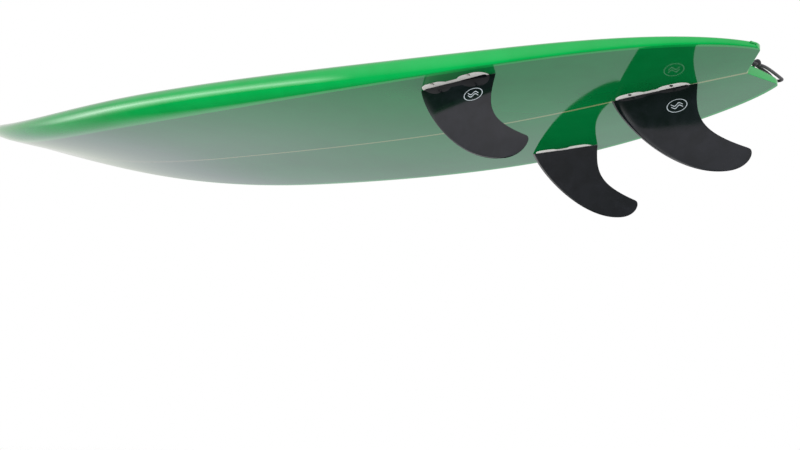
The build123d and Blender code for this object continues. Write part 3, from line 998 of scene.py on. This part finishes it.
def black_fin(marked):
    """Glossy black fin, with or without the mark: a ring round two waves."""
    n = Nodes("black_fin_marked" if marked else "black_fin_plain", **{"IOR": 1.41})
    swirl = n.noise(45.0, 5.0, 0.6, distortion=0.8)
    base = n.mix(n.ramp(swirl, 0.35, 0.7), rgb(9, 12, 15), rgb(20, 22, 27))
    rough = n.ramp(n.noise(70.0, 4.0), 0.3, 0.7, 0.07, 0.14)
    if marked:
        source = n.node("ShaderNodeUVMap", uv_map="fin").outputs[0]
        turn = {"Vector": source, "Location": MARK_CENTRE, "Rotation": (0, 0, MARK_TURN)}
        turned = n.node("ShaderNodeMapping", turn, vector_type="TEXTURE").outputs[0]
        axes = n.node("ShaderNodeSeparateXYZ", {"Vector": turned}).outputs
        x, y = n.math("DIVIDE", axes[0], MARK_SIZE[0]), n.math("DIVIDE", axes[1], MARK_SIZE[1])
        round_it = n.math("SQRT", n.math("ADD", n.math("MULTIPLY", x, x), n.math("MULTIPLY", y, y)))
        ring = n.ramp(n.math("ABSOLUTE", n.math("SUBTRACT", round_it, 1.0)), 0.026, 0.05, 1.0, 0.0)
        swell = n.math("MULTIPLY", n.math("SINE", n.math("MULTIPLY", x, 7.0)), 0.2)
        off_wave = n.math("ABSOLUTE", n.math("SUBTRACT", y, swell))
        wave = n.math("ABSOLUTE", n.math("SUBTRACT", off_wave, 0.2))
        inside = n.ramp(n.math("ABSOLUTE", x), 0.56, 0.6, 1.0, 0.0)
        wave = n.math("MULTIPLY", n.ramp(wave, 0.045, 0.085, 1.0, 0.0), inside)
        mark = n.math("MAXIMUM", ring, wave)
        base = n.mix(mark, base, rgb(176, 184, 190))
    slow_wave = n.bump(n.noise(18.0, 1.0), 0.0002, 0.4)
    return n.finish(
        Base_Color=base,
        Roughness=rough,
        Normal=n.bump(n.noise(160.0, 3.0), 0.00002, 0.5, slow_wave),
    )


def moulding(name, dark, light, rough):
    n = Nodes(name, **{"IOR": 1.46})
    cloud = n.noise(90.0, 3.0)
    return n.finish(
        Base_Color=n.mix(n.ramp(cloud, 0.3, 0.7), dark, light),
        Roughness=n.ramp(n.noise(240.0, 3.0), 0.3, 0.7, rough, rough + 0.14),
        Normal=n.bump(n.noise(1500.0, 2.0), 0.00003, 0.6),
    )


def steel():
    n = Nodes("stainless", **{"Metallic": 1.0})
    return n.finish(
        Base_Color=n.mix(n.noise(400.0, 2.0), rgb(158, 160, 163), rgb(196, 197, 198)),
        Roughness=n.ramp(n.noise(2500.0, 2.0, stretch=(1, 1, 8)), 0.3, 0.7, 0.22, 0.4),
        Normal=n.bump(n.noise(3000.0, 2.0, stretch=(1, 1, 10)), 0.00001, 0.6),
    )


def wood_strip():
    n = Nodes("stringer_wood")
    grain = n.noise(60.0, 5.0, 0.6, (0.12, 6.0, 3.0), 0.4)
    return n.finish(
        Base_Color=n.mix(n.ramp(grain, 0.3, 0.7), rgb(178, 142, 96), rgb(214, 184, 138)),
        Roughness=n.ramp(grain, 0.3, 0.7, 0.45, 0.65),
        Normal=n.bump(grain, 0.0002, 0.6),
    )


def foam():
    n = Nodes("foam", **{"Roughness": 0.85})
    cell_inputs = {"Vector": n.place(), "Scale": 900.0}
    cells = n.node("ShaderNodeTexVoronoi", cell_inputs).outputs["Distance"]
    return n.finish(
        Base_Color=n.mix(n.noise(30.0, 3.0), rgb(232, 230, 220), rgb(245, 243, 236)),
        Normal=n.bump(cells, 0.0003, 0.7),
    )


def cord_black():
    n = Nodes("black_cord", **{"Sheen Weight": 0.25, "Sheen Roughness": 0.5})
    fuzz = n.noise(2600.0, 4.0, 0.6)
    return n.finish(
        Base_Color=n.mix(n.ramp(fuzz, 0.35, 0.7), rgb(16, 16, 20), rgb(52, 50, 54)),
        Roughness=n.ramp(n.noise(900.0, 3.0), 0.3, 0.7, 0.45, 0.7),
        Normal=n.bump(fuzz, 0.00012, 0.8),
    )


# one tinted resin in two greens: the deck and rail laminate is painted lighter as painted light on
# its side-facing rail, and the bottom laminate darker as painted shade on its downward face
LIT_RAIL_GREENS = (rgb(4, 140, 60), rgb(8, 154, 70))
SHADED_BOTTOM_GREENS = (rgb(0, 105, 48), rgb(2, 116, 56))
laminates = {
    "deck_skin": green_laminate("lit_rail_green_resin", *LIT_RAIL_GREENS),
    "bottom_skin": green_laminate("shaded_bottom_green_resin", *SHADED_BOTTOM_GREENS),
}
for name, skin in skins.items():
    skin.data.materials.clear()
    skin.data.materials.append(laminates[name])
marked, plain = black_fin(True), black_fin(False)
for blade in fins.values():
    blade.data.materials.append(marked)
    blade.data.materials.append(plain)
cord_look = cord_black()
for piece in (string, knot):
    piece.data.materials.append(cord_look)

WHITE_MOULDING = moulding("white_moulding", rgb(240, 238, 234), rgb(250, 249, 246), 0.3)
BLACK_MOULDING = moulding("black_moulding", rgb(22, 22, 25), rgb(38, 38, 41), 0.35)
STEEL = steel()
cad_looks = {"stringer": wood_strip(), "leash_plug_cup": BLACK_MOULDING, "leash_plug_bar": STEEL}
foam_look = foam()
for side in ("left", "right"):
    cad_looks[f"{side}_foam_core"] = foam_look
for name in FINS:
    cad_looks[f"{name}_fin_box"] = WHITE_MOULDING
    for end in ("front", "rear"):
        cad_looks[f"{name}_{end}_grub_screw"] = STEEL
for node, look in cad_looks.items():
    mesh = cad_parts[node].data
    mesh.materials.clear()
    mesh.materials.append(look)


# ---- Surroundings ------------------------------------------------------------------------------
FLOOR_BELOW = 1.7
FLOOR_FADE = (2.5, 7.0)  # how far out the floor starts and stops melting into the backdrop


def make_floor():
    """Pale floor that the camera alone sees, and only from above."""
    glow = {"Emission Color": (1.0, 1.0, 1.0, 1.0), "Emission Strength": 0.35}
    n = Nodes("floor", **{"Roughness": 0.9}, **glow)
    axes = n.node("ShaderNodeSeparateXYZ", {"Vector": n.place()}).outputs
    squares = [n.math("MULTIPLY", axis, axis) for axis in (axes[0], axes[1])]
    out = n.math("SQRT", n.math("ADD", *squares))
    underside = n.node("ShaderNodeNewGeometry").outputs["Backfacing"]
    n.finish(
        Base_Color=n.mix(n.noise(3.0, 3.0), rgb(240, 240, 240), rgb(244, 244, 243)),
        Alpha=n.math("SUBTRACT", n.ramp(out, *FLOOR_FADE, 1.0, 0.0), underside, clamp=True),
    )
    size = FLOOR_FADE[1]
    corners = [(-size, -size), (size, -size), (size, size), (-size, size)]
    mesh = bpy.data.meshes.new("floor")
    mesh.from_pydata([(x, y, -FLOOR_BELOW) for x, y in corners], [], [(0, 1, 2, 3)])
    mesh.materials.append(n.material)
    floor = bpy.data.objects.new("floor", mesh)
    scene.collection.objects.link(floor)
    floor.visible_glossy = floor.visible_diffuse = floor.visible_shadow = False


def area_light(name, place, target, size, power):
    data = bpy.data.lights.new(name, "AREA")
    data.shape = "RECTANGLE"
    data.size, data.size_y = size
    data.energy = power
    light = bpy.data.objects.new(name, data)
    scene.collection.objects.link(light)
    light.location = place
    light.rotation_euler = (Vector(target) - Vector(place)).to_track_quat("-Z", "Y").to_euler()
    light.visible_glossy = light.visible_camera = False


# what the gloss mirrors: height as the sine of the elevation, then the brightness
OPEN_SIDE = (
    (-0.52, (0.0, 0.0, 0.0)),
    (-0.31, (0.36, 0.37, 0.38)),
    (-0.10, (0.66, 0.67, 0.70)),
    (0.16, (0.95, 0.95, 1.0)),
    (0.70, (1.25, 1.22, 1.28)),
    (1.0, (1.2, 1.2, 1.2)),
)
FAR_SIDE = (
    (-0.58, (0.03, 0.03, 0.03)),
    (-0.45, (0.44, 0.44, 0.50)),
    (-0.34, (0.58, 0.57, 0.64)),
    (-0.14, (0.77, 0.68, 0.82)),
    (0.05, (0.83, 0.82, 0.80)),
    (1.0, (0.9, 0.9, 0.9)),
)
WINDOW = (
    (-0.57, (0.0, 0.0, 0.0)),
    (-0.42, (0.4, 0.4, 0.4)),
    (-0.25, (1.0, 1.0, 1.0)),
    (-0.12, (0.5, 0.5, 0.5)),
    (0.05, (0.1, 0.1, 0.1)),
    (0.15, (0.0, 0.0, 0.0)),
)
WINDOW_GLOW = 6.5
WINDOW_X = (-0.32, -0.48)  # where the window fades in, along the world's x and y
WINDOW_Y = (-0.02, -0.50)
SIDE_BLEND = (-0.35, 0.05)  # where the far side takes over, along the world's y
FAR_ALONG = ((-0.6, -0.2), (1.0, 1.35))  # the far side is brighter towards the tail's end
BACKDROP = (1.0, 1.0, 1.0, 1.0)
# the even light on the object, from below, level and from above
FILL = (
    (-1.0, (1.15, 1.15, 1.15)),
    (0.0, (0.78, 0.78, 0.78)),
    (1.0, (0.43, 0.43, 0.43)),
)
FILL_ALONG = (0.75, 1.2)  # its share from the nose's end and from the tail's end


def make_world():
    """White to the camera, an even fill, and a graded room for the gloss to mirror."""
    world = bpy.data.worlds.new("studio")
    scene.world = world
    world.use_nodes = True
    tree = world.node_tree
    background = tree.nodes["Background"]
    way = tree.nodes.new("ShaderNodeSeparateXYZ")
    tree.links.new(tree.nodes.new("ShaderNodeTexCoord").outputs["Generated"], way.inputs[0])

    def graded(stops):
        up = tree.nodes.new("ShaderNodeMapRange")
        up.inputs["From Min"].default_value = -1.0
        tree.links.new(way.outputs[2], up.inputs["Value"])
        ramp = tree.nodes.new("ShaderNodeValToRGB")
        elements = ramp.color_ramp.elements
        while len(elements) < len(stops):
            elements.new(0.5)
        for element, (height, colour) in zip(elements, stops):
            element.position = (height + 1) / 2
            element.color = (*colour, 1.0)
        tree.links.new(up.outputs[0], ramp.inputs[0])
        return ramp.outputs[0]

    def mix(factor, one, two):
        made = tree.nodes.new("ShaderNodeMix")
        made.data_type = "RGBA"
        for value, socket in zip((factor, one, two), ("Factor", "A", "B")):
            if isinstance(value, bpy.types.NodeSocket):
                tree.links.new(value, made.inputs[socket])
            else:
                made.inputs[socket].default_value = value
        return made.outputs["Result"]

    def blend(axis, reach, shares=(0.0, 1.0)):
        made = tree.nodes.new("ShaderNodeMapRange")
        made.interpolation_type = "SMOOTHSTEP"
        for value, socket in zip((*reach, *shares), ("From Min", "From Max", "To Min", "To Max")):
            made.inputs[socket].default_value = value
        tree.links.new(way.outputs[axis], made.inputs["Value"])
        return made.outputs[0]

    def scaled(colour, *factors):
        for factor in factors:
            made = tree.nodes.new("ShaderNodeVectorMath")
            made.operation = "MULTIPLY"
            tree.links.new(colour, made.inputs[0])
            if isinstance(factor, bpy.types.NodeSocket):
                tree.links.new(factor, made.inputs[1])
            else:
                made.inputs[1].default_value = (factor,) * 3
            colour = made.outputs[0]
        return colour

    far_side = scaled(graded(FAR_SIDE), blend(0, *FAR_ALONG))
    room = mix(blend(1, SIDE_BLEND), graded(OPEN_SIDE), far_side)
    window = scaled(graded(WINDOW), WINDOW_GLOW, blend(0, WINDOW_X), blend(1, WINDOW_Y))
    both = tree.nodes.new("ShaderNodeVectorMath")
    tree.links.new(room, both.inputs[0])
    tree.links.new(window, both.inputs[1])
    ray = tree.nodes.new("ShaderNodeLightPath").outputs
    fill = scaled(graded(FILL), blend(0, (-1.0, 1.0), FILL_ALONG))
    seen = mix(ray["Is Glossy Ray"], fill, both.outputs[0])
    tree.links.new(mix(ray["Is Camera Ray"], seen, BACKDROP), background.inputs["Color"])


make_floor()
make_world()
area_light("key", (1.2, -1.9, 0.25), target=(0.1, 0.0, 0.15), size=(1.6, 0.8), power=32)
scene.view_settings.view_transform = "Standard"
